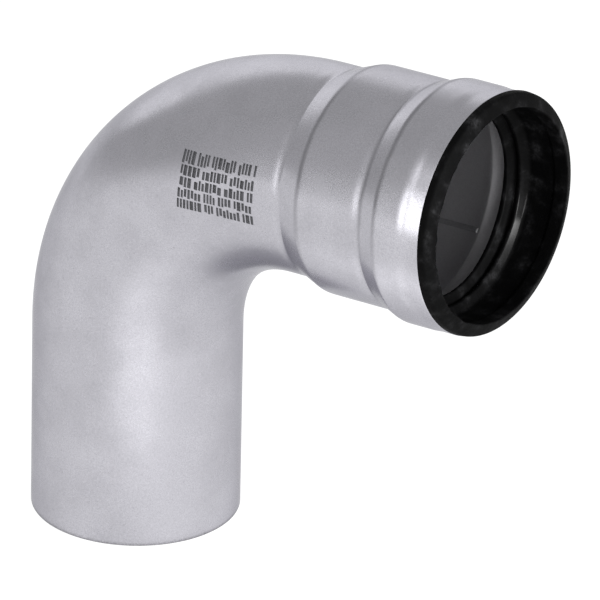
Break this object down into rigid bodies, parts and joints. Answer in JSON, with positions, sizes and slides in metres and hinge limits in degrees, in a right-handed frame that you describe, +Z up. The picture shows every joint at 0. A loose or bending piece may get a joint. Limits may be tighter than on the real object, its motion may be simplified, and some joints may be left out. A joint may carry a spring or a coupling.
{
  "type": "pipe elbow",
  "caption": "Push-fit drainage elbow, 87.5 degrees, in thin stainless tube: plain spigot, swept bend and two-step socket with a rubber lip seal.",
  "frame": {"origin": "centre of the spigot's end face", "axes": "+Z up along the spigot into the bend; the socket leaves towards +X, 2.5 degrees above it, in the plane Y = 0"},
  "size_m": [0.1931, 0.0876, 0.1999],
  "materials": {
    "steel": "pickled satin, fine grain",
    "seal_rubber": "matte, glossier at the inner lip"
  },
  "bodies": {
    "root": {"spigot_tube": "steel", "bend_tube_lower": "steel", "bend_tube_upper": "steel", "socket_tube": "steel", "lip_seal": "seal_rubber"}
  },
  "joints": []
}
